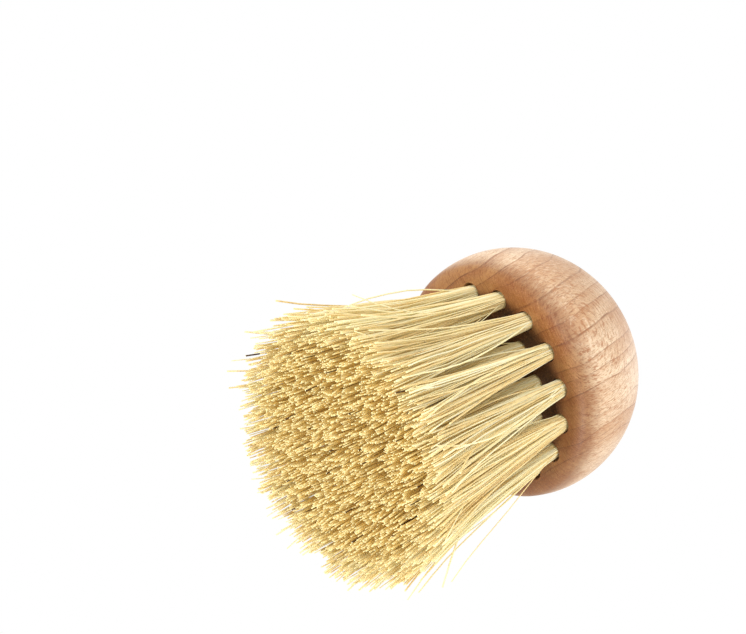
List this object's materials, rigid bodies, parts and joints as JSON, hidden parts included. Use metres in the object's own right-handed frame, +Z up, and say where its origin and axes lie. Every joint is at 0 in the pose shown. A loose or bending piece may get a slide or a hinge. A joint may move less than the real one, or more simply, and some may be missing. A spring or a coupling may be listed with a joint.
{
  "type": "vegetable brush",
  "caption": "Round palm brush: a turned wooden dome handle with circles of plant-fibre tufts stapled into blind holes in its flat underside.",
  "frame": {"origin": "centre of the flat plane of the trimmed bristle tips, on the handle's axis", "axes": "+Z up along the handle's axis, from the bristle tips to the dome; +X and +Y level"},
  "size_m": [0.063, 0.063, 0.0885],
  "materials": {
    "beech": "turned and sanded beech, untreated",
    "fibre": "pale plant fibre, cut ends",
    "staple": "flat steel wire"
  },
  "bodies": {
    "root": {"handle": "beech", "outer_tuft_01": "fibre", "outer_tuft_02": "fibre", "outer_tuft_03": "fibre", "outer_tuft_04": "fibre", "outer_tuft_05": "fibre", "outer_tuft_06": "fibre", "outer_tuft_07": "fibre", "outer_tuft_08": "fibre", "outer_tuft_09": "fibre", "outer_tuft_10": "fibre", "outer_tuft_11": "fibre", "outer_tuft_12": "fibre", "outer_tuft_13": "fibre", "outer_tuft_14": "fibre", "outer_tuft_15": "fibre", "outer_tuft_16": "fibre", "middle_tuft_01": "fibre", "middle_tuft_02": "fibre", "middle_tuft_03": "fibre", "middle_tuft_04": "fibre", "middle_tuft_05": "fibre", "middle_tuft_06": "fibre", "middle_tuft_07": "fibre", "middle_tuft_08": "fibre", "middle_tuft_09": "fibre", "middle_tuft_10": "fibre", "middle_tuft_11": "fibre", "inner_tuft_01": "fibre", "inner_tuft_02": "fibre", "inner_tuft_03": "fibre", "inner_tuft_04": "fibre", "inner_tuft_05": "fibre", "centre_tuft": "fibre", "tuft_staples": "staple"}
  },
  "joints": []
}
